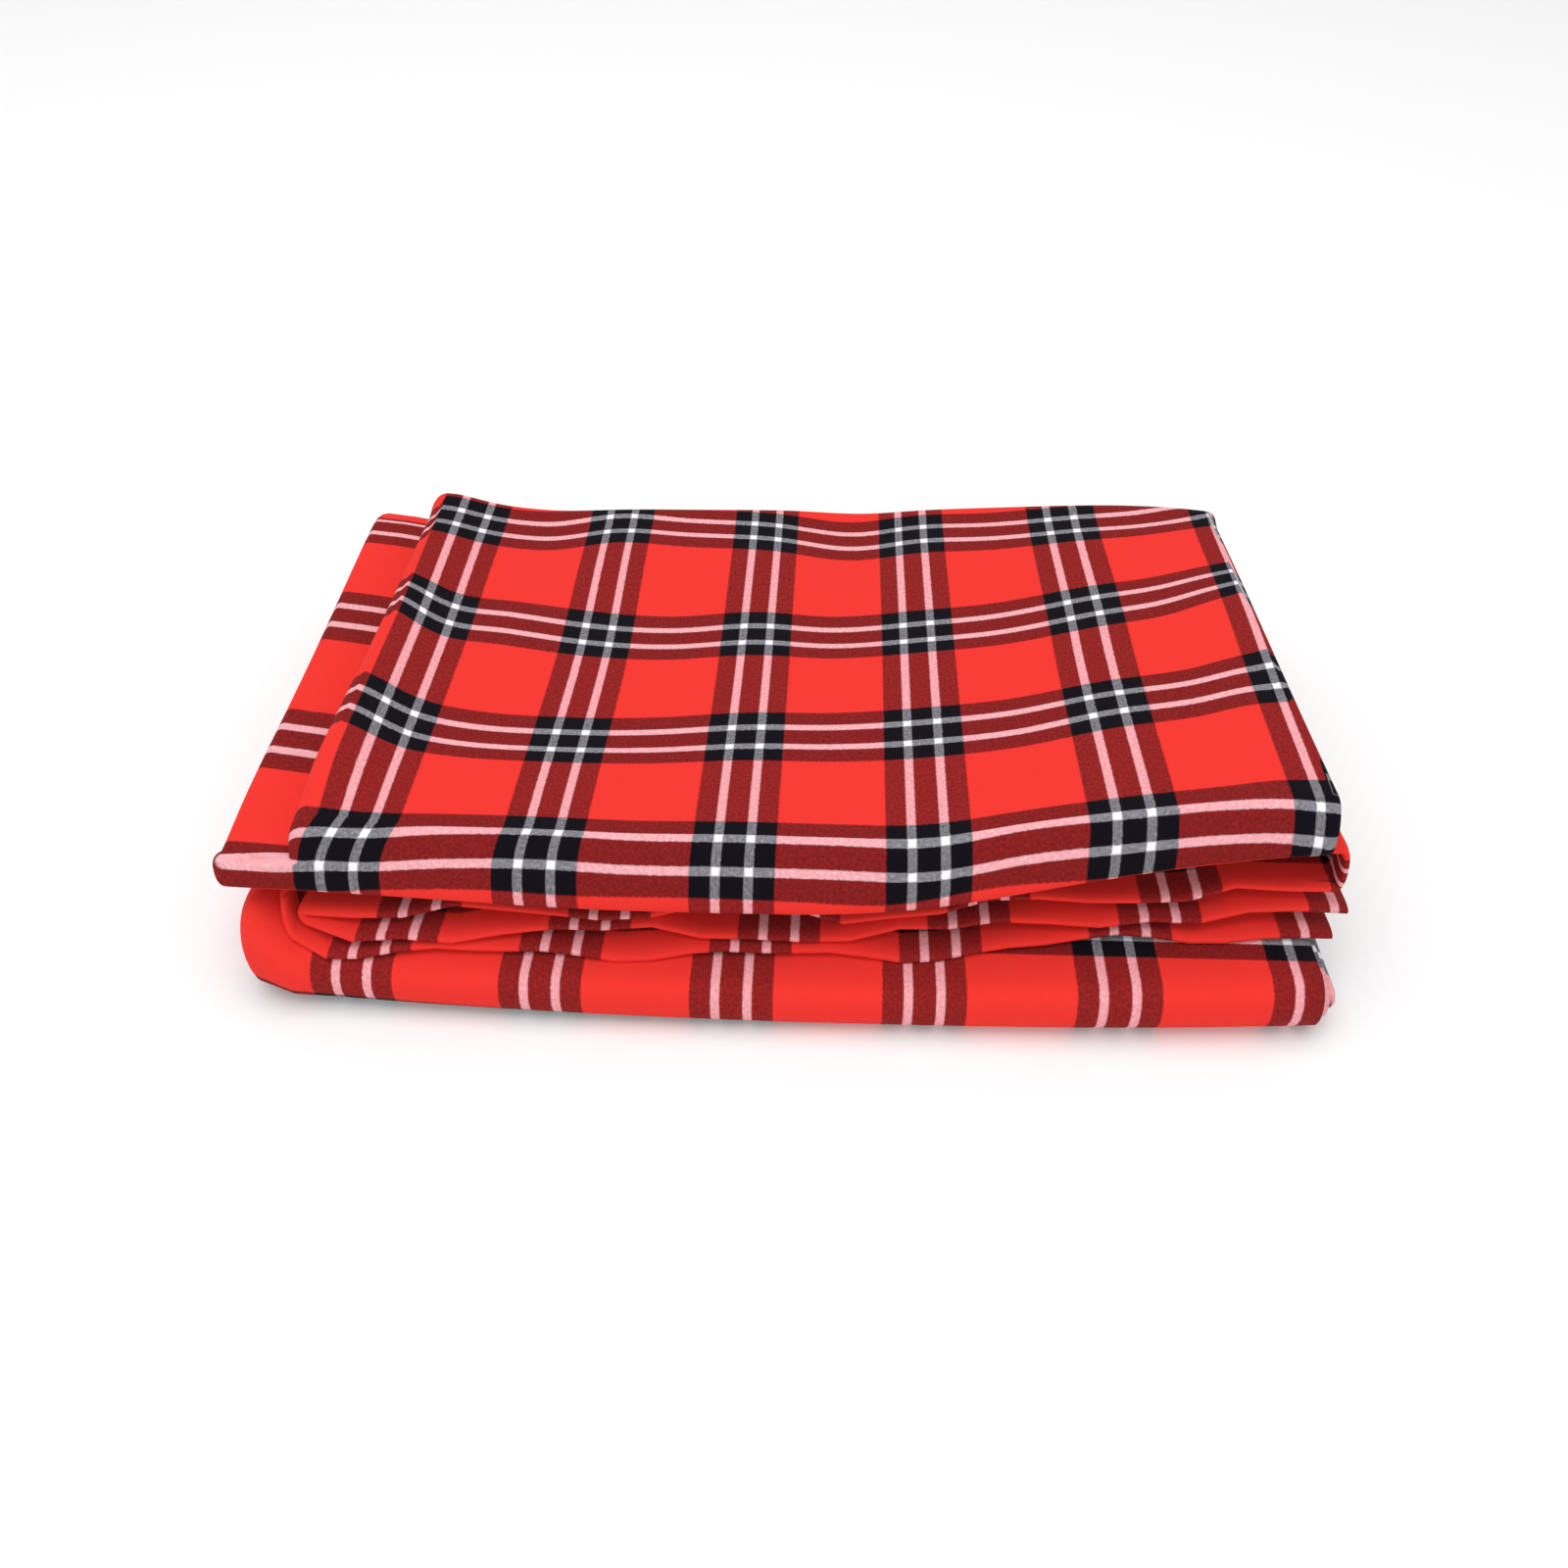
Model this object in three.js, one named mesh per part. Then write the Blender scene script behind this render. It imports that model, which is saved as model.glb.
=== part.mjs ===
import * as THREE from "three";

// A folded plaid blanket in millimetres, +Z up, front at -Y: one sheet, first folded across into
// four plies, then folded along into five passes that lie one on another.

// Cloth
const CLOTH_THICKNESS = 1.2;
const HEM_THICKNESS = 2.2;
const HEM_WIDTH = 12;
const PASS_GAP = 1.5;
const PLIES = 4;
const LAST_PLY = PLIES - 1;

// Where the thickness of a pass is measured, from left to right
const MEASURED_AT = { left: -180, middle: 0, right: 185 };

// The passes in order along the strip, from the hem tucked into the middle of the stack to the hem
// at the back of the top. place counts from the surface up. showUp: 1 where the ply that shows on
// the top of the stack looks up. thick: height at the left, middle and right. left and right: the
// side folds, at the front and at the back. inset: how far in the inner side fold lies, likewise.
// free: how far the two loose side edges stop short of the right fold.
const PASSES = [
  { place: 3, showUp: 1, thick: [19, 17, 24], left: [-196, -190], right: [203, 190], inset: [22, 14], free: [9, 4] },
  { place: 2, showUp: 0, thick: [11, 10, 12.5], left: [-197, -192], right: [197, 190], inset: [13, 14], free: [6, 3] },
  { place: 1, showUp: 1, thick: [10, 10, 11.5], left: [-198, -192], right: [198, 190], inset: [13, 14], free: [7, 4] },
  { place: 4, showUp: 0, thick: [12, 13, 14], left: [-199, -200], right: [188, 187], inset: [47, 22], free: [6, 5] },
  { place: 5, showUp: 1, thick: [17, 13, 14], left: [-167, -164], right: [187, 188], inset: [15, 14], free: [7, 5] },
];

// The folds between one pass and the next. side: 1 at the back, -1 at the front. start: where the
// straight run ends. round: reach beyond that for each unit of half height. skew: slant of the fold
// line in plan. bow: how far its ends draw back. corner: how far the left corner draws back further.
// turn: which part of the fold carries the change of side folds.
const FOLDS = [
  { side: 1, start: 100, round: 0.85, skew: -0.02, bow: 2, corner: 0, turn: [0, 1], steps: 4 },
  { side: -1, start: -134, round: 0.95, skew: 0, bow: 7, corner: 3, turn: [0, 1], steps: 5 },
  { side: 1, start: 100, round: 0.85, skew: -0.02, bow: 2, corner: 0, turn: [0, 1], steps: 7 },
  { side: -1, start: -108, round: 1.0, skew: 0.035, bow: 7, corner: 0, turn: [0.6, 0.92], steps: 7 },
];

// The two hems: where they lie on the show ply and on the ply farthest from it
const HEMS = {
  tucked: { side: -1, showPly: -111, hiddenPly: -125, skew: 0.045, bow: 2, corner: 3 },
  back: { side: 1, showPly: 104, hiddenPly: 98, skew: -0.02, bow: 2, corner: 0 },
};

// Soft swells and hollows of the upper passes. x, y: middle. alongX, alongY: half widths.
const SWELLS = [
  { x: -70, y: 10, alongX: 55, alongY: 130, height: -2.5 },
  { x: 50, y: -100, alongX: 45, alongY: 60, height: -2.5 },
  { x: 160, y: 60, alongX: 60, alongY: 90, height: 3 },
];

// How far the outer left loop and the sharper side folds reach beyond the straight plies
const LOOP_REACH = 7;
const CREASE_REACH = 2.2;

// How far from the left end a corner starts to draw back, and where a bow is measured
const CORNER_WIDTH = 34;
const BOW_AT = 190;

// How many spans the sheet is drawn in
const SPANS = { pass: 5, loop: 6, crease: 4 };

// Where every ply is drawn between its side folds
const RUN_AT = [-148, -105, -55, 0, 55, 105, 152];

const smooth = (t) => {
  const c = Math.min(1, Math.max(0, t));
  return c * c * (3 - 2 * c);
};
const mix = (a, b, t) => a + (b - a) * t;

function acrossThree([left, middle, right], x) {
  if (x < MEASURED_AT.middle) {
    return mix(left, middle, smooth((x - MEASURED_AT.left) / (MEASURED_AT.middle - MEASURED_AT.left)));
  }
  return mix(middle, right, smooth((x - MEASURED_AT.middle) / (MEASURED_AT.right - MEASURED_AT.middle)));
}

function swell(x, y) {
  return SWELLS.reduce((sum, s) => {
    const reach = ((x - s.x) / s.alongX) ** 2 + ((y - s.y) / s.alongY) ** 2;
    return sum + s.height * Math.exp(-reach);
  }, 0);
}

const byPlace = [...PASSES].sort((a, b) => a.place - b.place);
const upperShare = (place) => Math.min(1, Math.max(0, (place - 2) / (PASSES.length - 2)));

// Height of the middle of a ply (0 is the show ply) of one pass
function plyHeight(pass, ply, x, y) {
  const below = byPlace.slice(0, pass.place - 1).reduce((sum, p) => sum + acrossThree(p.thick, x), 0);
  const spread = acrossThree(pass.thick, x) - CLOTH_THICKNESS - PASS_GAP;
  const level = pass.showUp ? LAST_PLY - ply : ply;
  const lift = swell(x, y) * mix(upperShare(pass.place), upperShare(pass.place + 1), level / PLIES);
  return below + CLOTH_THICKNESS / 2 + (spread * level) / LAST_PLY + lift;
}

// How far a fold or hem line lies from its middle, in plan
function lineOffset(line, x, left) {
  const corner = Math.max(0, (left + CORNER_WIDTH - x) / CORNER_WIDTH);
  const drawnBack = line.bow * (x / BOW_AT) ** 2 + line.corner * corner ** 2;
  return line.skew * x - line.side * drawnBack;
}

const foldStart = (fold, x, left) => fold.start + lineOffset(fold, x, left);

function hemLine(hem, ply, x, left) {
  return mix(hem.showPly, hem.hiddenPly, ply / LAST_PLY) + lineOffset(hem, x, left);
}

// Stations along the strip: each has its pass or fold and how far through it the station lies
const stations = [];
PASSES.forEach((pass, index) => {
  const first = index === 0;
  const last = index === PASSES.length - 1;
  for (let i = 0; i <= SPANS.pass; i += 1) {
    stations.push({ index, through: i / SPANS.pass });
    if (first && i === 0) {
      stations.push({ index, through: 0, hemIn: HEM_WIDTH });
    }
  }
  if (last) {
    stations.splice(stations.length - 1, 0, { index, through: 1, hemIn: HEM_WIDTH });
    return;
  }
  for (let i = 1; i < FOLDS[index].steps; i += 1) {
    stations.push({ index, turn: i / FOLDS[index].steps });
  }
});

// Side folds of a pass, from its front (0) to its back (1)
function passSides(pass, toBack) {
  return {
    left: mix(pass.left[0], pass.left[1], toBack),
    right: mix(pass.right[0], pass.right[1], toBack),
    inset: mix(pass.inset[0], pass.inset[1], toBack),
    free: pass.free,
  };
}

// Side folds at a station: those of its pass, or between two passes inside a fold
function sides(station) {
  const here = PASSES[station.index];
  if (station.turn === undefined) {
    const towardsFront = station.index % 2 === 1;
    return passSides(here, towardsFront ? 1 - station.through : station.through);
  }
  const fold = FOLDS[station.index];
  const atBack = fold.side > 0 ? 1 : 0;
  const a = passSides(here, atBack);
  const b = passSides(PASSES[station.index + 1], atBack);
  const t = smooth((station.turn - fold.turn[0]) / (fold.turn[1] - fold.turn[0]));
  return {
    left: mix(a.left, b.left, t),
    right: mix(a.right, b.right, t),
    inset: mix(a.inset, b.inset, t),
    free: a.free.map((gap, i) => mix(gap, b.free[i], t)),
  };
}

// Both ends of the straight run of a pass
function runEnds(index, ply, x, left) {
  const from = index === 0 ? hemLine(HEMS.tucked, ply, x, left) : foldStart(FOLDS[index - 1], x, left);
  const last = index === PASSES.length - 1;
  const to = last ? hemLine(HEMS.back, ply, x, left) : foldStart(FOLDS[index], x, left);
  return [from, to];
}

// Point of the sheet at a station, a ply (in-between values inside a side fold) and a place across
function point(station, ply, x, left) {
  const pass = PASSES[station.index];
  if (station.turn === undefined) {
    const [from, to] = runEnds(station.index, ply, x, left);
    let y = mix(from, to, station.through);
    if (station.hemIn) {
      y += (station.through === 0 ? 1 : -1) * Math.sign(to - from) * station.hemIn;
    }
    return new THREE.Vector3(x, y, plyHeight(pass, ply, x, y));
  }
  const fold = FOLDS[station.index];
  const start = foldStart(fold, x, left);
  const from = plyHeight(pass, ply, x, start);
  const to = plyHeight(PASSES[station.index + 1], ply, x, start);
  const angle = Math.PI * station.turn;
  const half = Math.abs(to - from) / 2;
  return new THREE.Vector3(
    x,
    start + fold.side * half * fold.round * Math.sin(angle),
    mix(from, to, (1 - Math.cos(angle)) / 2),
  );
}

// Stations across the blanket: hidden ply, outer left loop, show ply, right fold, inner plies
const across = [];
const run = (ply, from, to, leftward) => {
  const between = leftward ? [...RUN_AT].reverse() : RUN_AT;
  across.push((s) => ({ ply, x: from(s) }));
  between.forEach((x) => across.push(() => ({ ply, x })));
  across.push((s) => ({ ply, x: to(s) }));
};
const turnOver = (fromPly, toPly, side, edge, reach, spans) => {
  for (let i = 1; i < spans; i += 1) {
    const angle = (Math.PI * i) / spans;
    across.push((s) => ({
      ply: mix(fromPly, toPly, (1 - Math.cos(angle)) / 2),
      x: edge(s) + side * reach * Math.sin(angle),
    }));
  }
};
run(LAST_PLY, (s) => s.right - s.free[0], (s) => s.left + LOOP_REACH, true);
turnOver(LAST_PLY, 0, -1, (s) => s.left + LOOP_REACH, LOOP_REACH, SPANS.loop);
run(0, (s) => s.left + LOOP_REACH, (s) => s.right - CREASE_REACH, false);
turnOver(0, 1, 1, (s) => s.right - CREASE_REACH, CREASE_REACH, SPANS.crease);
run(1, (s) => s.right - CREASE_REACH, (s) => s.left + s.inset, true);
turnOver(1, 2, -1, (s) => s.left + s.inset, CREASE_REACH, SPANS.crease);
run(2, (s) => s.left + s.inset, (s) => s.right - s.free[1], false);

// Middle surface of the sheet, then its two faces half a thickness to either side
const middle = stations.map((station) => {
  const s = sides(station);
  return across.map((at) => {
    const { ply, x } = at(s);
    return point(station, ply, x, s.left);
  });
});
const ROWS = stations.length;
const COLUMNS = across.length;

function sheetNormal(row, column) {
  const clampRow = (r) => Math.min(ROWS - 1, Math.max(0, r));
  const clampColumn = (c) => Math.min(COLUMNS - 1, Math.max(0, c));
  const along = middle[clampRow(row + 1)][column].clone().sub(middle[clampRow(row - 1)][column]);
  const over = middle[row][clampColumn(column + 1)].clone().sub(middle[row][clampColumn(column - 1)]);
  return over.cross(along).normalize();
}

const faces = [1, -1].map((side) =>
  middle.map((line, row) => {
    const hemmed = row < 2 || row > ROWS - 3;
    const half = (hemmed ? HEM_THICKNESS : CLOTH_THICKNESS) / 2;
    return line.map((p, column) => p.clone().addScaledVector(sheetNormal(row, column), side * half));
  }),
);

// Closed surface of the sheet
const positions = [];
const addTriangle = (a, b, c) => {
  [a, b, c].forEach((p) => positions.push(p.x, p.y, p.z));
};
const addQuad = (a, b, c, d) => {
  addTriangle(a, b, c);
  addTriangle(a, c, d);
};
const [upper, lower] = faces;
for (let r = 0; r < ROWS - 1; r += 1) {
  for (let c = 0; c < COLUMNS - 1; c += 1) {
    addQuad(upper[r][c], upper[r][c + 1], upper[r + 1][c + 1], upper[r + 1][c]);
    addQuad(lower[r][c], lower[r + 1][c], lower[r + 1][c + 1], lower[r][c + 1]);
  }
  addQuad(lower[r][0], upper[r][0], upper[r + 1][0], lower[r + 1][0]);
  const e = COLUMNS - 1;
  addQuad(upper[r][e], lower[r][e], lower[r + 1][e], upper[r + 1][e]);
}
for (let c = 0; c < COLUMNS - 1; c += 1) {
  addQuad(upper[0][c], lower[0][c], lower[0][c + 1], upper[0][c + 1]);
  const e = ROWS - 1;
  addQuad(lower[e][c], upper[e][c], upper[e][c + 1], lower[e][c + 1]);
}

const geometry = new THREE.BufferGeometry();
geometry.setAttribute("position", new THREE.Float32BufferAttribute(positions, 3));
geometry.computeBoundingBox();
const box = geometry.boundingBox;
geometry.translate(-(box.min.x + box.max.x) / 2, -(box.min.y + box.max.y) / 2, -box.min.z);
geometry.computeVertexNormals();

const cloth = new THREE.MeshStandardMaterial({ color: 0xc4221c, roughness: 0.9, metalness: 0 });
const blanket = new THREE.Mesh(geometry, cloth);
blanket.name = "blanket";

const part = new THREE.Group();
part.name = "folded_blanket";
part.add(blanket);

export default part;
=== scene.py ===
import math

import bpy
import numpy as np
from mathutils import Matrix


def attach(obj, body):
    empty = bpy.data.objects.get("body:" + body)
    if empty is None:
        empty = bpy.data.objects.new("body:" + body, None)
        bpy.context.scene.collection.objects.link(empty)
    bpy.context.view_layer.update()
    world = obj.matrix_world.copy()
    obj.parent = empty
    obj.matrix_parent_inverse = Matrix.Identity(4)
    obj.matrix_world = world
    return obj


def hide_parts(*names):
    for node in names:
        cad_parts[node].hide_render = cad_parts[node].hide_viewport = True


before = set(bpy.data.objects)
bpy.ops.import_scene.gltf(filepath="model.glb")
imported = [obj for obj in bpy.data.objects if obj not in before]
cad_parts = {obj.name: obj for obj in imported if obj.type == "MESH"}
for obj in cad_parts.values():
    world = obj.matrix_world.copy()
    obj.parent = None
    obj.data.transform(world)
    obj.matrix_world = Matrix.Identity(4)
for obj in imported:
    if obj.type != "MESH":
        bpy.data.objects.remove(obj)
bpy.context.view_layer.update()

# A folded plaid blanket: one sheet, folded across into four plies, then along into five passes.
# Folding sizes are in millimetres, +Z up, front at -Y.

MM = 0.001
FRAME_SHIFT = (-1.75, 9.75, 0.0)

# Cloth. Ply 0 is the show ply, and the left loop joins the last ply to it. The flat size is in metres.
CLOTH_THICKNESS = 1.2
PASS_GAP = 1.5
LAST_PLY = 3

# Where the thickness of a pass is measured, from left to right
MEASURED_AT = (-180.0, 0.0, 185.0)

# The passes in order along the strip, from the hem tucked into the stack to the hem at the back.
# place counts from the surface up. show_up: 1 where the show ply looks up. thick: height at the left,
# middle and right. left, right: the side folds at the front and the back. inset: how far in the inner
# side fold lies. free: how far the loose side edges stop short of the right fold. loop: reach of the
# round left fold. lip: how high the left fold stands up at the front and back, and over what width.
# flare: how fast the side folds leave the front line. spans: rows of mesh. slack: plaid eased into
# the run.
PASSES = [
    dict(place=3, show_up=1, thick=(19, 17, 33), left=(-179, -188), right=(200, 187), inset=(9, 14),
         free=(2, -3), loop=5, lip=(0, 0, 20), flare=7, spans=24, slack=0),
    dict(place=2, show_up=0, thick=(11, 10, 12.5), left=(-196, -192), right=(197, 190), inset=(13, 14),
         free=(6, 3), loop=9, lip=(0, 0, 20), flare=1, spans=12, slack=0),
    dict(place=1, show_up=1, thick=(10, 10, 11.5), left=(-197, -192), right=(198, 190), inset=(13, 14),
         free=(7, 4), loop=9, lip=(0, 0, 20), flare=1, spans=12, slack=-40.4),
    dict(place=4, show_up=0, thick=(11, 13, 9.5), left=(-200, -201), right=(191, 184), inset=(47, 22),
         free=(6, 5), loop=3.5, lip=(3.5, 3.5, 18), flare=1, spans=28, slack=0),
    dict(place=5, show_up=1, thick=(13, 13, 10.5), left=(-172, -169), right=(191.5, 183), inset=(15, 14),
         free=(7, 5), loop=6, lip=(8.5, 5, 17), flare=1, spans=56, slack=0),
]

# The top pass and the fold before it, in order along the strip
TOP = len(PASSES) - 1
FRONT_FOLD = TOP - 1

# Places of the tucked pass and of the last pass that lies level, below the swells
TUCKED_PLACE = 3
LEVEL_PLACE = 2

# The left end of the lower place swells up beside the upper one: where it begins, over what width,
# and how high
LEFT_SWELL = dict(begin=-168.0, width=20.0, height=14.0, upper=3, lower=2)

# The folds between one pass and the next. side: 1 at the back, -1 at the front. start: where the run
# ends. round: reach for each unit of half height. skew: slant in plan. bow: how far the ends draw
# back. corner: how far the left corner draws back further. turn: part of the fold that carries the
# change of side folds. slope: how far the face leans back for its height. square: below 1 for a
# squarer face. spans: rows of mesh. outer: the ply outside. slack: plaid gathered out of sight. pull:
# plaid drawn for each length of cloth, low and high on the fold. lean: slant of the weft stripes on
# the left half and the right.
FOLDS = [
    dict(side=1, start=100, round=0.85, skew=-0.02, bow=2, corner=0, turn=(0, 1), slope=0, square=1,
         spans=10, outer=0, slack=0, pull=(1, 1), lean=(0, 0)),
    dict(side=-1, start=-134, round=0.95, skew=0, bow=7, corner=17, turn=(0, 1), slope=0, square=0.9,
         spans=16, outer=3, slack=0, pull=(1, 1), lean=(-0.03, -0.065)),
    dict(side=1, start=100, round=0.85, skew=-0.02, bow=2, corner=0, turn=(0, 1), slope=0, square=1,
         spans=20, outer=3, slack=0, pull=(1, 1), lean=(0, 0)),
    dict(side=-1, start=-109.5, round=0.6, skew=0.035, bow=7, corner=0, turn=(0.40, 0.49), slope=0.56,
         square=0.62, spans=46, outer=0, slack=53, pull=(0.65, 0.98), lean=(0, 0)),
]

# Part of a fold that is out of sight below its face, and where the pull changes from low to high
HIDDEN_TURN = 0.2
PULL_CHANGE = dict(begin=0.3, width=0.2)

# The two hems, ply by ply: where they lie at the left, middle and right. Their ends draw back by the
# bow, and the left corner further.
HEMS = dict(
    tucked=dict(side=-1, skew=0, bow=0, corner=7, plies=[
        dict(ply=0, at=(-107, -102, -95)),
        dict(ply=1, at=(-121, -113, -104)),
        dict(ply=2, at=(-127, -119, -108)),
        dict(ply=3, at=(-131, -125, -112)),
    ]),
    back=dict(side=1, skew=0, bow=17, corner=0, plies=[
        dict(ply=0, at=(117, 112, 106)),
        dict(ply=1, at=(115, 110, 104)),
        dict(ply=2, at=(112, 107, 101)),
        dict(ply=3, at=(109, 104, 98)),
    ]),
)

# The plies of the tucked pass. share: how high they lie in it at the left, middle and right. drift:
# how far their warp stripes lie to the right.
TUCKED_PLIES = [
    dict(ply=0, share=(0.96, 1.0, 1.0), drift=32.0),
    dict(ply=1, share=(0.58, 0.64, 0.44), drift=23.0),
    dict(ply=2, share=(0.30, 0.32, 0.22), drift=16.0),
    dict(ply=3, share=(0.0, 0.0, 0.0), drift=6.0),
]

# Waves along the tucked hem, two to a ply. length: of a wave. begin: where it starts, as a share. out,
# up: how far it moves the edge. They die away inwards over the reach.
RUFFLE_REACH = 22.0
RUFFLES = [
    dict(ply=0, length=118, begin=0.10, out=2.2, up=0.9),
    dict(ply=0, length=47, begin=0.55, out=0.9, up=0.5),
    dict(ply=1, length=96, begin=0.40, out=2.6, up=0.9),
    dict(ply=1, length=39, begin=0.15, out=1.0, up=0.5),
    dict(ply=2, length=131, begin=0.75, out=2.4, up=0.8),
    dict(ply=2, length=44, begin=0.30, out=1.1, up=0.5),
    dict(ply=3, length=109, begin=0.25, out=2.0, up=0.7),
    dict(ply=3, length=51, begin=0.80, out=0.9, up=0.4),
]

# Rolled hem, from its edge inwards: how far in, and half its thickness
HEM_PROFILE = [
    dict(inward=0.0, half=0.5),
    dict(inward=0.5, half=0.9),
    dict(inward=1.4, half=1.25),
    dict(inward=3.5, half=1.4),
    dict(inward=6.0, half=1.25),
    dict(inward=9.0, half=0.9),
    dict(inward=13.0, half=0.6),
]

# Soft swells and hollows of the upper passes. wide, deep: half widths from side to side and front to
# back.
SWELLS = [
    dict(x=-70, y=10, wide=55, deep=130, height=-2.5),
    dict(x=50, y=-100, wide=45, deep=60, height=-2.5),
    dict(x=160, y=60, wide=60, deep=90, height=3),
    dict(x=-190, y=105, wide=45, deep=80, height=5),
    dict(x=-111, y=84, wide=24, deep=34, height=-3.0),
    dict(x=28, y=86, wide=24, deep=34, height=-3.0),
]

# Reach of the flat creases at the sides
CREASE_REACH = 2.2

# Width over which a left corner draws back, and how far from the middle a bow is measured
CORNER_WIDTH = 26.0
BOW_AT = 190.0

# Left lip: where the top begins and how long it is, and what share of the lip dips away at its front,
# over what width
TOP_FRONT = -112.0
TOP_LENGTH = 215.0
LIP_DIP = 0.85
DIP_WIDTH = 24.0

# Columns of mesh on each ply and in the side folds
COLUMNS = dict(show=90, hidden=30, inner=22, loop=14, crease=8)

# Shortest length that still has a direction
TINY = 1e-9

# Plaid: the repeat, and half widths of the middle dark stripe, to the outside of a white one, and of
# the whole group. The first group lies here on the show ply.
REPEAT = 68.0
MIDDLE_DARK = 4.2
WHITE_OUTSIDE = 7.2
GROUP_HALF = 14.8
WARP_AT = -152.0
WEFT_AT = -110.0

# Where the hidden ply and the first inner ply mirror the plaid of the show ply. The second inner ply
# carries on from the first, two widths along.
LEFT_MIRROR = -186.0
RIGHT_MIRROR = 188.0
INNER_START = 2 * (RIGHT_MIRROR - LEFT_MIRROR)

# How far the plaid rises on the front fold's left end, and from where over what width
FLAP_RISE = dict(begin=-160.0, width=14.0, height=1.2)

# How far the plaid of the strip at the left slips along, from front to back
STRIP_SLIP = [
    dict(y=-112, slip=-2.5),
    dict(y=-90, slip=-4.0),
    dict(y=-70, slip=-4.3),
    dict(y=-51, slip=-1.0),
    dict(y=-10, slip=6.0),
    dict(y=29, slip=12.8),
    dict(y=50, slip=15.0),
    dict(y=97, slip=14.0),
]

# How the plaid lies on the top, from left to right. face, near, mid, far: how far the warp stripes lie
# to the right, on the front face and at the front, middle and back. front, first, second, back: how far
# the weft stripes lie back, on the front face and in three groups.
DRIFT = [
    dict(x=-172, face=-4.0, near=4.5, mid=4.2, far=3.5, front=-6.3, first=-1.0, second=6.0, back=-9.0),
    dict(x=-152, face=-3.0, near=4.1, mid=3.8, far=2.9, front=-5.8, first=-8.0, second=-5.5, back=-6.5),
    dict(x=-118, face=-2.2, near=2.6, mid=3.5, far=2.0, front=-3.0, first=-15.0, second=-9.2, back=-2.2),
    dict(x=-84, face=-1.4, near=1.2, mid=3.0, far=1.3, front=-1.8, first=-15.2, second=-13.8, back=4.8),
    dict(x=-50, face=-1.0, near=0.6, mid=2.0, far=1.2, front=-2.6, first=-13.6, second=-15.4, back=2.0),
    dict(x=-16, face=-0.5, near=0.2, mid=1.0, far=1.1, front=-2.0, first=-10.1, second=-12.1, back=-0.3),
    dict(x=18, face=-0.2, near=-0.2, mid=0.1, far=0.1, front=-1.5, first=-9.3, second=-15.2, back=-4.8),
    dict(x=52, face=0.0, near=-0.6, mid=-0.8, far=-0.9, front=-1.8, first=-7.2, second=-13.0, back=-4.4),
    dict(x=86, face=0.5, near=0.3, mid=-1.0, far=-1.8, front=2.5, first=-5.1, second=-11.2, back=-8.6),
    dict(x=120, face=1.0, near=1.3, mid=-1.0, far=-2.6, front=4.6, first=1.9, second=-4.9, back=-9.9),
    dict(x=152, face=2.2, near=1.8, mid=0.2, far=-1.6, front=7.2, first=6.4, second=1.0, back=-10.6),
    dict(x=172, face=3.0, near=2.2, mid=1.1, far=-0.7, front=8.2, first=12.6, second=11.0, back=-6.0),
    dict(x=188, face=3.5, near=2.3, mid=1.3, far=-0.5, front=7.7, first=15.0, second=20.0, back=0.0),
]

# Where the columns of that table lie, from front to back
WARP_ROWS = dict(face=-119.0, near=-103.0, mid=0.0, far=85.0)
WEFT_ROWS = dict(front=-112.3, first=-50.0, second=15.0, back=92.0)

# Colours of the threads
RED = (0.80, 0.036, 0.028, 1.0)
BLACK = (0.005, 0.004, 0.007, 1.0)
WHITE = (0.86, 0.84, 0.92, 1.0)

# Weave: width of two yarns and of a stripe's soft edge, the share of weft that shows, and how much
# more a dark or white thread covers than a red one
YARN = 0.8
EDGE = 0.6
WEFT_SHARE = 0.53
DARK_COVER = 1.5
WHITE_COVER = -0.3

# Uneven yarn: its noise, how far it moves a stripe's edge, and the share of weft that it and the ribs
# change
UNEVEN = dict(Scale=900.0, Detail=2.0, Roughness=0.6)
NOISE_MIDDLE = 0.5
UNEVEN_SHIFT = 0.8
UNEVEN_SHARE = 0.7
RIB_SHARE = 0.12

# Relief of the yarn, its depth in metres, and the surface of the cloth
UNEVEN_HEIGHT = 2.0
RELIEF = dict(Strength=0.3, Distance=0.0002)
CLOTH_SURFACE = {
    "Roughness": 0.85,
    "Specular IOR Level": 0.05,
    "Sheen Weight": 0.015,
    "Sheen Roughness": 0.5,
}

# Studio, in metres and watts: a pale floor, a white sky and two round lights
FLOOR_REACH = 6.0
FLOOR_SURFACE = {"Base Color": (0.9, 0.9, 0.9, 1.0), "Roughness": 0.9}
SKY = {"Color": (1.0, 1.0, 1.0, 1.0), "Strength": 0.75}
LIGHT_AIM = (0.0, 0.0, 0.03)
LIGHTS = [
    dict(name="light_above", place=(-0.3, 0.2, 2.6), size=3.0, power=34.0),
    dict(name="light_front", place=(0.3, -2.0, 1.2), size=1.4, power=10.0),
]

# Camera: place in metres, tilt and turn in degrees, lens and sensor in millimetres
CAMERA = dict(place=(0.01295, -0.42255, 0.3843), tilt=47.62, turn=2.35, lens=30.36, sensor=36.0,
              nearest=0.01)


def smooth(t):
    c = np.clip(t, 0.0, 1.0)
    return c * c * (3.0 - 2.0 * c)


def mix(a, b, t):
    return a + (b - a) * t


# Value at x from values at the left, middle and right
def across_three(sizes, x):
    left, middle, right = sizes
    at_left, at_middle, at_right = MEASURED_AT
    first = mix(left, middle, smooth((x - at_left) / (at_middle - at_left)))
    second = mix(middle, right, smooth((x - at_middle) / (at_right - at_middle)))
    return np.where(x < at_middle, first, second)


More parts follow.
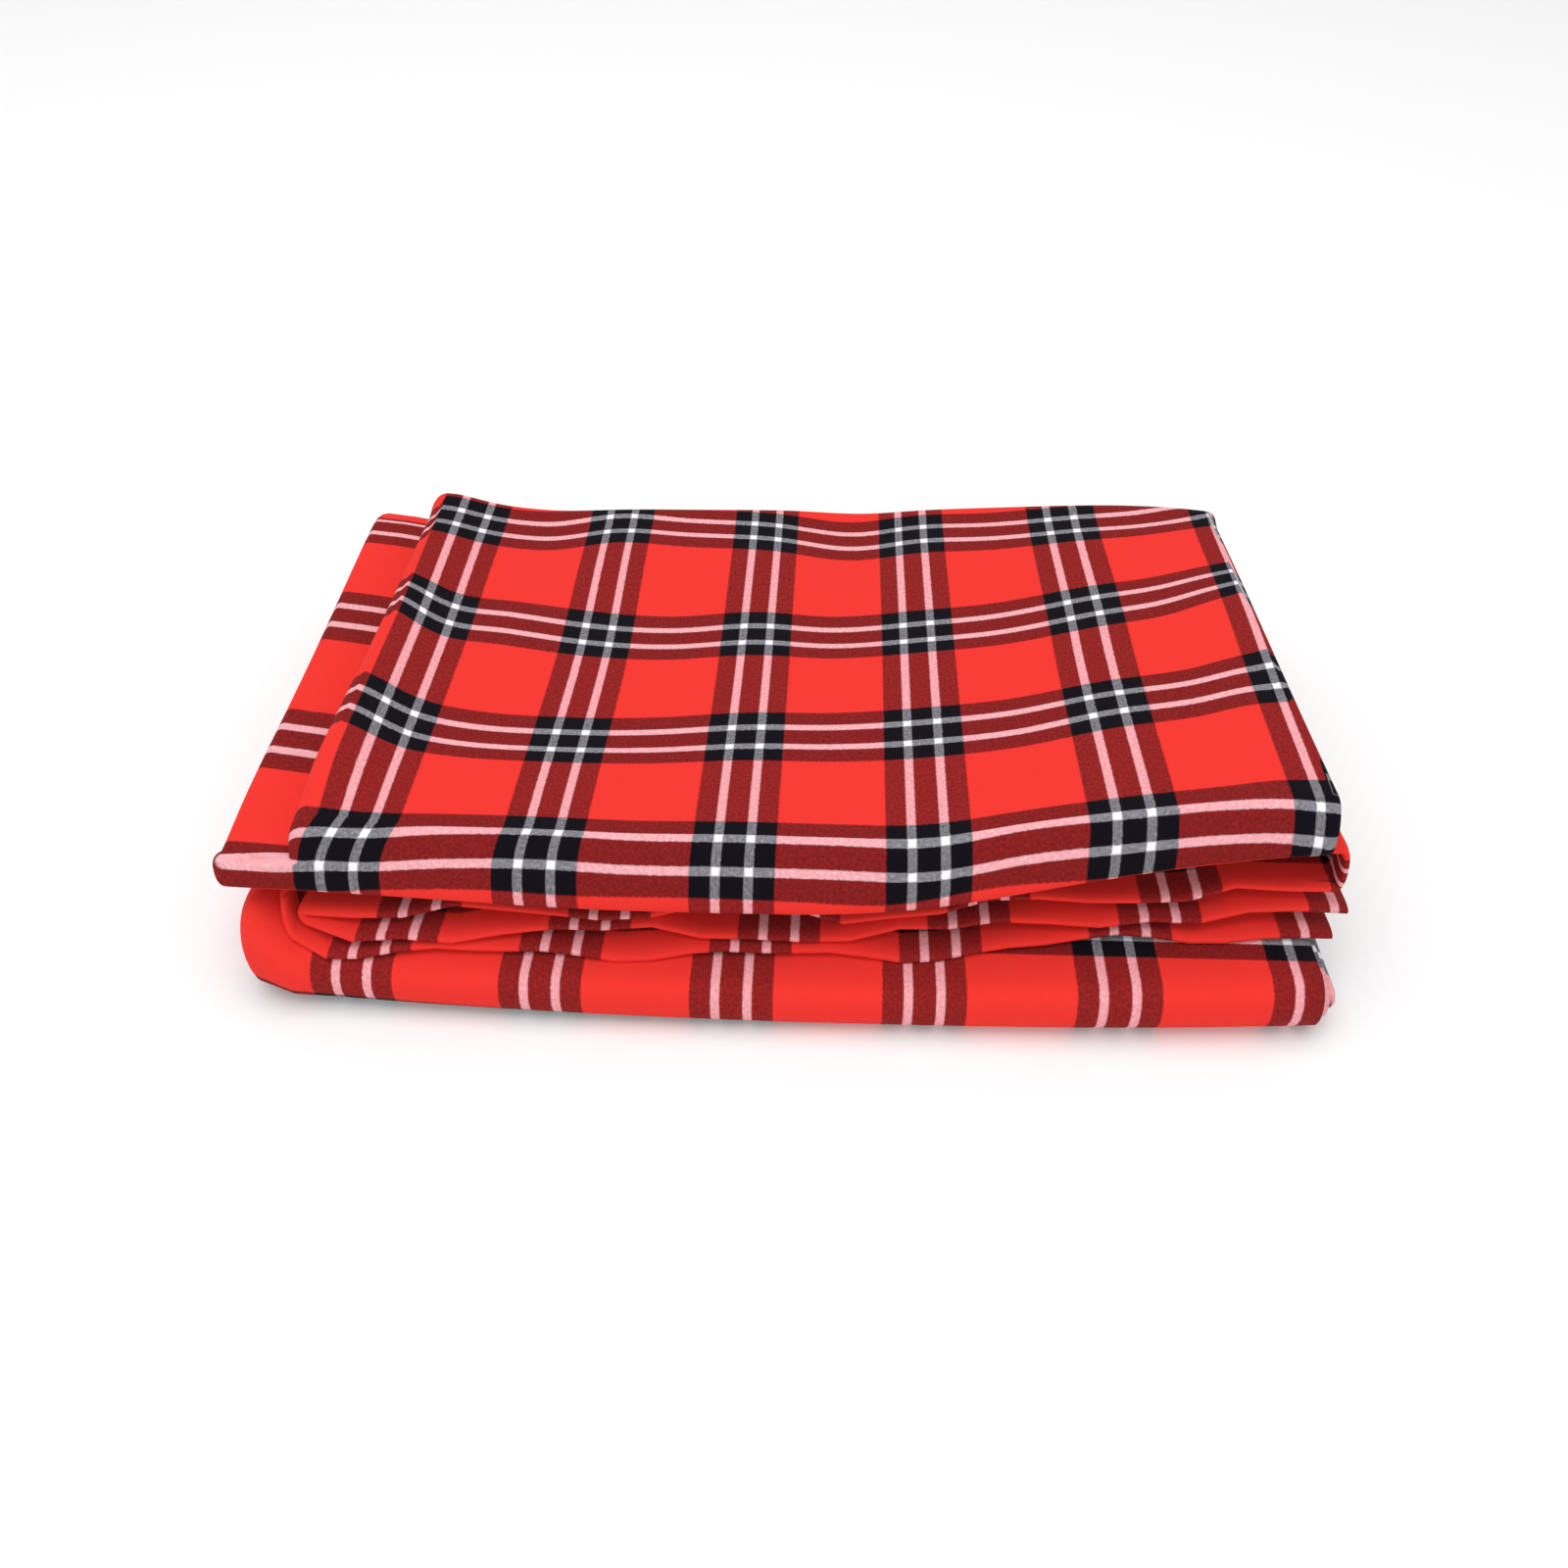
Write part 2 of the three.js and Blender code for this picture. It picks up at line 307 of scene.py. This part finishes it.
def pass_thickness(p, x):
    height = smooth((LEFT_SWELL["begin"] - x) / LEFT_SWELL["width"]) * LEFT_SWELL["height"]
    gains = float(p["place"] == LEFT_SWELL["lower"])
    loses = float(p["place"] == LEFT_SWELL["upper"])
    return across_three(p["thick"], x) + height * (gains - loses)


# Height of the whole passes below a place
def height_below(place, x):
    return sum(pass_thickness(p, x) for p in PASSES if p["place"] < place)


def swell(x, y):
    total = 0.0
    for s in SWELLS:
        reach = ((x - s["x"]) / s["wide"]) ** 2 + ((y - s["y"]) / s["deep"]) ** 2
        total = total + s["height"] * np.exp(-reach)
    return total


# Share of the swells that the underside of a place takes
def upper_share(place):
    return min(1.0, max(0.0, (place - LEVEL_PLACE) / (len(PASSES) - LEVEL_PLACE)))


def lip(p, x, y, left):
    at_front, at_back, width = p["lip"]
    height = mix(at_front, at_back, smooth((y - TOP_FRONT) / TOP_LENGTH))
    height = height * (1.0 - LIP_DIP * np.exp(-(((y - TOP_FRONT) / DIP_WIDTH) ** 2)))
    return height * np.exp(-((np.maximum(x - left - p["loop"], 0.0) / width) ** 2))


# Value at any ply from the values of the whole plies
def between_plies(values, ply):
    total = 0.0
    for i, value in enumerate(values):
        total = total + value * np.maximum(0.0, 1.0 - np.abs(ply - i))
    return total


# Height of the middle of a ply of one pass
def ply_height(p, ply, x, y, left):
    spread = pass_thickness(p, x) - CLOTH_THICKNESS - PASS_GAP + lip(p, x, y, left)
    if p["place"] == TUCKED_PLACE:
        level = between_plies([across_three(t["share"], x) for t in TUCKED_PLIES], ply)
    else:
        level = (LAST_PLY - ply if p["show_up"] else ply) / LAST_PLY
    upwards = level * LAST_PLY / (LAST_PLY + 1)
    share = mix(upper_share(p["place"]), upper_share(p["place"] + 1), upwards)
    return height_below(p["place"], x) + CLOTH_THICKNESS / 2 + spread * level + swell(x, y) * share


# How far a fold or hem line lies from its middle, in plan
def line_offset(line, x, left):
    corner = np.maximum(0.0, (left + CORNER_WIDTH - x) / CORNER_WIDTH)
    drawn_back = line["bow"] * (x / BOW_AT) ** 2 + line["corner"] * corner ** 2
    return line["skew"] * x - line["side"] * drawn_back


# Where one ply of a pass turns into the fold before or after it
def fold_start(fold_index, pass_index, ply, x, left):
    fold = FOLDS[fold_index]
    line = fold["start"] + line_offset(fold, x, left)
    upper = max(PASSES[fold_index]["place"], PASSES[fold_index + 1]["place"])
    height = ply_height(PASSES[pass_index], ply, x, line, left) - height_below(upper, x)
    return line + fold["slope"] * height


# Waves of the tucked hem on any ply, outwards or up
def ruffle(column, ply, x):
    total = 0.0
    for w in RUFFLES:
        near = np.maximum(0.0, 1.0 - np.abs(ply - w["ply"]))
        total = total + w[column] * near * np.sin(2.0 * math.pi * (x / w["length"] + w["begin"]))
    return total


def hem_line(hem, ply, x, left):
    at = between_plies([across_three(h["at"], x) for h in hem["plies"]], ply)
    line = at + line_offset(hem, x, left)
    return line + ruffle("out", ply, x) if hem["side"] < 0 else line


# Rows along the strip, each with its place in order. A row of a pass or hem says how far through the
# pass it lies, and a row of the fold after it how far round the turn.
def strip_rows():
    rows = []
    hem_width = HEM_PROFILE[-1]["inward"]
    hem_rows = HEM_PROFILE[:-1]
    for index, p in enumerate(PASSES):
        first = index == 0
        last = index == TOP
        if first:
            rows += [dict(index=index, hem=h, through=0.0) for h in hem_rows]
        trim = (hem_width * first, hem_width * last)
        rows += [dict(index=index, through=i / p["spans"], trim=trim) for i in range(p["spans"] + 1)]
        if last:
            rows += [dict(index=index, hem=h, through=1.0) for h in reversed(hem_rows)]
        else:
            spans = FOLDS[index]["spans"]
            rows += [dict(index=index, turn=i / spans) for i in range(1, spans)]
    return rows


# Number of the first row of a pass, or of the fold after it
def first_row(rows, index, in_fold=False):
    return next(r for r, row in enumerate(rows) if row["index"] == index and ("turn" in row) == in_fold)


# Side folds of a pass, from its front (0) to its back (1)
def pass_sides(p, to_back):
    share = 1.0 - (1.0 - to_back) ** p["flare"]
    ends = [mix(*p[side], share) for side in ("left", "right", "inset")]
    return np.array(ends + list(p["free"]) + [p["loop"]])


# Share of a fold's change of side folds that is done at a turn
def side_change(fold, turn):
    begin, end = fold["turn"]
    return float(smooth((turn - begin) / (end - begin)))


# Side folds at a row: those of its pass, or between two passes inside a fold
def row_sides(row):
    index = row["index"]
    if "turn" not in row:
        towards_front = index % 2 == 1
        return pass_sides(PASSES[index], 1.0 - row["through"] if towards_front else row["through"])
    fold = FOLDS[index]
    at_back = 1.0 if fold["side"] > 0 else 0.0
    before, after = (pass_sides(PASSES[i], at_back) for i in (index, index + 1))
    return mix(before, after, side_change(fold, row["turn"]))


# Plies and places across at a row: hidden ply, outer left loop, show ply, right fold, inner plies
def across_row(sides):
    left, right, inset, free_hidden, free_inner, loop = sides
    loop_edge = left + loop
    crease_edge = right - CREASE_REACH
    inner_edge = left + inset
    ply = []
    x = []

    def run(at_ply, start, end, count):
        ply.append(np.full(count, float(at_ply)))
        x.append(np.linspace(start, end, count))

    def turn_over(from_ply, to_ply, side, edge, reach, spans):
        angle = np.linspace(0.0, math.pi, spans + 1)[1:-1]
        ply.append(mix(from_ply, to_ply, (1.0 - np.cos(angle)) / 2))
        x.append(edge + side * reach * np.sin(angle))

    run(LAST_PLY, right - free_hidden, loop_edge, COLUMNS["hidden"])
    turn_over(LAST_PLY, 0, -1, loop_edge, loop, COLUMNS["loop"])
    run(0, loop_edge, crease_edge, COLUMNS["show"])
    turn_over(0, 1, 1, crease_edge, CREASE_REACH, COLUMNS["crease"])
    run(1, crease_edge, inner_edge, COLUMNS["inner"])
    turn_over(1, 2, -1, inner_edge, CREASE_REACH, COLUMNS["crease"])
    run(2, inner_edge, right - free_inner, COLUMNS["inner"])
    return np.concatenate(ply), np.concatenate(x)


# Points of the middle of the sheet at a row of a fold
def fold_points(row, ply, x, left):
    index = row["index"]
    fold = FOLDS[index]
    begin = fold_start(index, index, ply, x, left)
    end = fold_start(index, index + 1, ply, x, left)
    low = ply_height(PASSES[index], ply, x, begin, left)
    high = ply_height(PASSES[index + 1], ply, x, end, left)
    angle = math.pi * row["turn"]
    risen = (1.0 - math.cos(angle)) / 2
    half_height = np.abs(high - low) / 2
    reach = fold["side"] * half_height * fold["round"] * math.sin(angle) ** fold["square"]
    return np.stack([x, mix(begin, end, risen) + reach, mix(low, high, risen)], axis=1)


# Points of the middle of the sheet at a row of a pass or hem
def pass_points(row, ply, x, left):
    index = row["index"]
    if index == 0:
        begin = hem_line(HEMS["tucked"], ply, x, left)
    else:
        begin = fold_start(index - 1, index, ply, x, left)
    if index == TOP:
        end = hem_line(HEMS["back"], ply, x, left)
    else:
        end = fold_start(index, index, ply, x, left)
    if "hem" in row:
        inward = row["hem"]["inward"]
        y = begin + inward if row["through"] == 0.0 else end - inward
    else:
        trim_begin, trim_end = row["trim"]
        y = mix(begin + trim_begin, end - trim_end, row["through"])
    z = ply_height(PASSES[index], ply, x, y, left)
    if index == 0:
        z = z + ruffle("up", ply, x) * np.exp(-(((y - begin) / RUFFLE_REACH) ** 2))
    return np.stack([x, y, z], axis=1)


# Middle of the sheet: its rows, points, the ply of each column, and the places across
def sheet_grid():
    rows = strip_rows()
    grid = []
    places = []
    for row in rows:
        sides = row_sides(row)
        ply, x = across_row(sides)
        points_at = fold_points if "turn" in row else pass_points
        places.append(x)
        grid.append(points_at(row, ply, x, sides[0]))
    return rows, np.array(grid), ply, np.array(places)


# Smooth curve through the values of a table
def curve_through(at, values, x):
    slope = np.gradient(values, at)
    span = np.clip(np.searchsorted(at, x) - 1, 0, len(at) - 2)
    width = at[span + 1] - at[span]
    t = np.clip((x - at[span]) / width, 0.0, 1.0)
    rise = values[span + 1] - values[span]
    begin = slope[span] * width
    end = slope[span + 1] * width
    return values[span] + t * (begin + t * (3 * rise - 2 * begin - end + t * (begin + end - 2 * rise)))


def strip_slip(y):
    at = np.array([float(s["y"]) for s in STRIP_SLIP])
    return curve_through(at, np.array([s["slip"] for s in STRIP_SLIP]), y)


def drift_at(column, x):
    at = np.array([float(d["x"]) for d in DRIFT])
    return curve_through(at, np.array([d[column] for d in DRIFT]), x)


# Drift at a place on the top, between columns that lie at given places from front to back
def drift_between(columns, x, y):
    at = list(columns.values())
    drifts = [drift_at(column, x) for column in columns]
    total = drifts[0]
    for i in range(1, len(at)):
        total = mix(total, drifts[i], smooth((y - at[i - 1]) / (at[i] - at[i - 1])))
    return total


# Slant of the weft stripes on a fold
def lean_at(index, x):
    left, right = FOLDS[index]["lean"]
    return np.where(x < 0.0, left, right) * x


# Plaid drawn for each length of cloth in a fold
def fold_pull(fold, turn):
    low, high = fold["pull"]
    return mix(low, high, float(smooth((turn - PULL_CHANGE["begin"]) / PULL_CHANGE["width"])))


# Columns that belong to the hidden ply and the outer left loop
def loop_columns(ply):
    return np.arange(len(ply)) < COLUMNS["hidden"] + COLUMNS["loop"] - 1


# Place of a row's points across the flat cloth
def cloth_across(row, ply, x, y):
    drift = [t["drift"] if row["index"] == 0 else 0.0 for t in TUCKED_PLIES]
    on_top = row["index"] == TOP or (row["index"] == FRONT_FOLD and "turn" in row)
    show = x - drift[0] - (drift_between(WARP_ROWS, x, y) if on_top else 0.0)
    first_inner = 2 * RIGHT_MIRROR - (x - drift[1])
    second_inner = INNER_START + x - drift[2]
    hidden = 2 * LEFT_MIRROR - (x - drift[3])
    by_loop = mix(show, hidden, ply / LAST_PLY)
    to_first = mix(show, first_inner, ply)
    to_second = mix(first_inner, second_inner, ply - 1.0)
    return np.where(loop_columns(ply), by_loop, np.where(ply < 1.0, to_first, to_second))


# Distance along the strip at every row, measured on the ply that lies outside
def along_strip(rows, grid, ply):
    middle = {}
    for outside in (0, LAST_PLY):
        columns = np.where(ply == float(outside))[0]
        middle[outside] = columns[len(columns) // 2]
    lengths = np.zeros(len(rows))
    for r in range(1, len(rows)):
        row = rows[r] if "turn" in rows[r] else rows[r - 1]
        in_fold = "turn" in row
        column = middle[FOLDS[row["index"]]["outer"]] if in_fold else middle[0]
        step = float(np.linalg.norm((grid[r, column] - grid[r - 1, column])[1:]))
        if in_fold:
            fold = FOLDS[row["index"]]
            step *= fold_pull(fold, row["turn"])
            if row["turn"] < HIDDEN_TURN:
                step += fold["slack"] / (HIDDEN_TURN * fold["spans"])
        else:
            step += PASSES[row["index"]]["slack"] / PASSES[row["index"]]["spans"]
        lengths[r] = lengths[r - 1] + step
    top = first_row(rows, TOP)
    return lengths - lengths[top] + grid[top, middle[0], 1]


# Place along the cloth of the show ply on the front fold, down from where the top ends
def front_fold_map(rows, grid, show, places):
    first = first_row(rows, FRONT_FOLD, in_fold=True)
    last = first_row(rows, TOP)
    face = grid[first:last + 1][:, show]
    pull = np.array([fold_pull(FOLDS[FRONT_FOLD], row["turn"]) for row in rows[first:last]])
    steps = np.linalg.norm(np.diff(face[:, :, 1:], axis=0), axis=2) * pull[:, None]
    down = np.cumsum(steps[::-1], axis=0)[::-1]
    ends = face[-1, :, 1] - drift_at("front", places[last, show])
    rise = smooth((FLAP_RISE["begin"] - face[:-1, :, 0]) / FLAP_RISE["width"]) * FLAP_RISE["height"]
    return ends - down + rise


# Place along the cloth on a row of the front fold: the face of the show ply, and the flap at the left
# that carries on from the strip
def front_fold_along(turn, length, face, strip_end, outside):
    strip_end = strip_end + REPEAT * np.round((face - strip_end) / REPEAT)
    on_flap = outside * (1.0 - side_change(FOLDS[FRONT_FOLD], turn))
    seen = float(smooth(turn / HIDDEN_TURN))
    return mix(mix(length, face, seen), strip_end, on_flap)


# Lean of the weft stripes on a run, which dies away from the folds to the middle of the run
def run_along(index, through, length, x):
    before = lean_at(index - 1, x) if index else 0.0
    length = length + before * float(smooth(1.0 - 2.0 * through))
    return length + lean_at(index, x) * float(smooth(2.0 * through - 1.0))


# Place of every point on the flat cloth, across and along, for the plaid
def cloth_map(rows, grid, ply, places):
    lengths = along_strip(rows, grid, ply)
    show = np.where(ply == 0.0)[0]
    front = front_fold_map(rows, grid, show, places)
    first = first_row(rows, FRONT_FOLD, in_fold=True)
    strip_end = lengths[first - 1] + STRIP_SLIP[0]["slip"]
    outside = np.where(loop_columns(ply), smooth(ply - LAST_PLY + 1), 0.0)
    across = np.zeros(places.shape)
    along = np.zeros(places.shape)
    for r, row in enumerate(rows):
        index = row["index"]
        x = places[r]
        y = grid[r, :, 1]
        across[r] = cloth_across(row, ply, x, y)
        if index == TOP:
            along[r] = np.where(ply == 0.0, y, lengths[r]) - drift_between(WEFT_ROWS, x, y)
        elif index == FRONT_FOLD and "turn" in row:
            face = np.interp(x, x[show], front[r - first])
            along[r] = front_fold_along(row["turn"], lengths[r], face, strip_end, outside)
        elif index == FRONT_FOLD:
            along[r] = lengths[r] + strip_slip(y) * outside
        elif "turn" in row:
            along[r] = lengths[r] + lean_at(index, x)
        else:
            along[r] = run_along(index, row["through"], lengths[r], x)
    return np.stack([across, along], axis=2)


def sheet_normals(grid):
    along = np.gradient(grid, axis=0)
    over = np.gradient(grid, axis=1)
    normal = np.cross(over, along)
    length = np.linalg.norm(normal, axis=2, keepdims=True)
    return normal / np.maximum(length, TINY)


# Faces of a closed sheet: the upper and lower side, and a rim along its four edges
def sheet_faces(row_count, column_count):
    upper = np.arange(row_count * column_count).reshape(row_count, column_count)
    lower = upper + row_count * column_count
    corners = [
        (upper[:-1, :-1], upper[:-1, 1:], upper[1:, 1:], upper[1:, :-1]),
        (lower[:-1, :-1], lower[1:, :-1], lower[1:, 1:], lower[:-1, 1:]),
        (lower[:-1, 0], upper[:-1, 0], upper[1:, 0], lower[1:, 0]),
        (upper[:-1, -1], lower[:-1, -1], lower[1:, -1], upper[1:, -1]),
        (upper[0, :-1], lower[0, :-1], lower[0, 1:], upper[0, 1:]),
        (lower[-1, :-1], upper[-1, :-1], upper[-1, 1:], lower[-1, 1:]),
    ]
    return np.concatenate([np.stack(c, axis=-1).reshape(-1, len(c)) for c in corners])


def add_object(name, data):
    made = bpy.data.objects.new(name, data)
    bpy.context.collection.objects.link(made)
    return made


def set_inputs(node, values):
    for name, value in values.items():
        node.inputs[name].default_value = value


# Closed sheet: two sides half a thickness from the middle, thicker at the hems, and a rim
def build_blanket():
    rows, grid, ply, places = sheet_grid()
    flat = cloth_map(rows, grid, ply, places)
    half = np.array([row["hem"]["half"] if "hem" in row else CLOTH_THICKNESS / 2 for row in rows])
    normal = sheet_normals(grid)
    sides = [grid + side * half[:, None, None] * normal for side in (1, -1)]
    points = np.concatenate([s.reshape(-1, 3) for s in sides])
    points[:, 2] = np.maximum(points[:, 2], 0.0)
    points = (points + np.array(FRAME_SHIFT)) * MM
    mesh = bpy.data.meshes.new("blanket_cloth")
    mesh.from_pydata(points.tolist(), [], sheet_faces(*places.shape).tolist())
    uv = mesh.uv_layers.new(name="cloth")
    flat_points = np.concatenate([flat.reshape(-1, 2)] * 2) * MM
    corners = np.empty(len(mesh.loops), dtype=np.int32)
    mesh.loops.foreach_get("vertex_index", corners)
    uv.data.foreach_set("uv", flat_points[corners].astype(np.float32).ravel())
    mesh.polygons.foreach_set("use_smooth", np.ones(len(mesh.polygons), dtype=bool))
    mesh.update()
    return add_object("blanket_cloth", mesh)


# Values of a shader, written as expressions. An input given as _0 is a socket by its number.
class Value:
    def __init__(self, tree, socket):
        self.tree = tree
        self.socket = socket

    def node(self, kind, settings=None, out=0, **inputs):
        made = self.tree.nodes.new(kind)
        for name, setting in (settings or {}).items():
            setattr(made, name, setting)
        for name, given in inputs.items():
            numbered = name[0] == "_"
            target = made.inputs[int(name[1:]) if numbered else name]
            if isinstance(given, Value):
                self.tree.links.new(given.socket, target)
            else:
                target.default_value = given
        return Value(self.tree, made.outputs[out])

    def math(self, operation, *given):
        inputs = {f"_{i}": g for i, g in enumerate(given)}
        return self.node("ShaderNodeMath", {"operation": operation}, **inputs)

    def __add__(self, other):
        return self.math("ADD", self, other)

    def __radd__(self, other):
        return self.math("ADD", other, self)

    def __sub__(self, other):
        return self.math("SUBTRACT", self, other)

    def __rsub__(self, other):
        return self.math("SUBTRACT", other, self)

    def __mul__(self, other):
        return self.math("MULTIPLY", self, other)

    def __rmul__(self, other):
        return self.math("MULTIPLY", other, self)

    def __truediv__(self, other):
        return self.math("DIVIDE", self, other)

    def __rtruediv__(self, other):
        return self.math("DIVIDE", other, self)

    def blend(self, a, b):
        return self.node("ShaderNodeMix", {"data_type": "RGBA"}, out=2, _0=self, _6=a, _7=b)


# Colour of one set of threads and how far it covers the other, by the distance from its group
def threads(at, group_at):
    away = at.math("ABSOLUTE", at.math("WRAP", at - group_at, REPEAT / 2, -REPEAT / 2))

    def inside(limit):
        ramp = at.math("MULTIPLY_ADD", limit - away, 1.0 / EDGE, 0.5)
        return at.math("MINIMUM", at.math("MAXIMUM", ramp, 0.0), 1.0)

    group = inside(GROUP_HALF)
    lines = inside(WHITE_OUTSIDE) - inside(MIDDLE_DARK)
    colour = lines.blend(group.blend(RED, BLACK), WHITE)
    cover = 1.0 + (group - lines) * DARK_COVER + lines * WHITE_COVER
    return colour, cover


def plaid_cloth():
    material = bpy.data.materials.new("plaid_cloth")
    material.use_nodes = True
    tree = material.node_tree
    shader = tree.nodes["Principled BSDF"]
    start = Value(tree, None)
    place = start.node("ShaderNodeUVMap", {"uv_map": "cloth"})
    split = start.node("ShaderNodeSeparateXYZ", Vector=place)
    across = split * (1.0 / MM)
    along = Value(tree, split.socket.node.outputs[1]) * (1.0 / MM)
    uneven = start.node("ShaderNodeTexNoise", Vector=place, **UNEVEN) - NOISE_MIDDLE
    warp, warp_cover = threads(across + uneven * UNEVEN_SHIFT, WARP_AT)
    weft, weft_cover = threads(along + uneven * UNEVEN_SHIFT, WEFT_AT)
    step = 2.0 * math.pi / YARN
    ribs = start.math("SINE", across * step) * start.math("SINE", along * step)
    weft_share = WEFT_SHARE + ribs * RIB_SHARE + uneven * UNEVEN_SHARE
    weft_part = weft_share * weft_cover
    warp_part = (1.0 - weft_share) * warp_cover
    colour = (weft_part / (weft_part + warp_part)).blend(warp, weft)
    bump = start.node("ShaderNodeBump", Height=ribs + uneven * UNEVEN_HEIGHT, **RELIEF)
    tree.links.new(colour.socket, shader.inputs["Base Color"])
    tree.links.new(bump.socket, shader.inputs["Normal"])
    set_inputs(shader, CLOTH_SURFACE)
    return material


def pale_floor():
    mesh = bpy.data.meshes.new("floor")
    corners = [(x * FLOOR_REACH, y * FLOOR_REACH, 0.0) for x, y in ((-1, -1), (1, -1), (1, 1), (-1, 1))]
    mesh.from_pydata(corners, [], [(0, 1, 2, 3)])
    floor = add_object("floor", mesh)
    material = bpy.data.materials.new("pale_floor")
    material.use_nodes = True
    set_inputs(material.node_tree.nodes["Principled BSDF"], FLOOR_SURFACE)
    mesh.materials.append(material)


def soft_light(name, place, size, power):
    light = bpy.data.lights.new(name, "AREA")
    light.shape = "DISK"
    light.size = size
    light.energy = power
    lamp = add_object(name, light)
    lamp.location = place
    x, y, z = (aim - start for aim, start in zip(LIGHT_AIM, place))
    lamp.rotation_euler = (math.atan2(math.hypot(x, y), -z), 0.0, math.atan2(-x, y))


def studio():
    pale_floor()
    world = bpy.data.worlds.new("studio")
    world.use_nodes = True
    set_inputs(world.node_tree.nodes["Background"], SKY)
    bpy.context.scene.world = world
    for light in LIGHTS:
        soft_light(**light)


def photo_camera():
    data = bpy.data.cameras.new("camera")
    data.type = "PERSP"
    data.sensor_width = CAMERA["sensor"]
    data.lens = CAMERA["lens"]
    data.clip_start = CAMERA["nearest"]
    camera = add_object("camera", data)
    camera.location = CAMERA["place"]
    camera.rotation_euler = (math.radians(CAMERA["tilt"]), 0.0, math.radians(CAMERA["turn"]))
    bpy.context.scene.camera = camera


bpy.context.scene.view_settings.view_transform = "Standard"
photo_camera()
studio()
blanket = build_blanket()
blanket.data.materials.append(plaid_cloth())
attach(blanket, "root")
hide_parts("blanket")
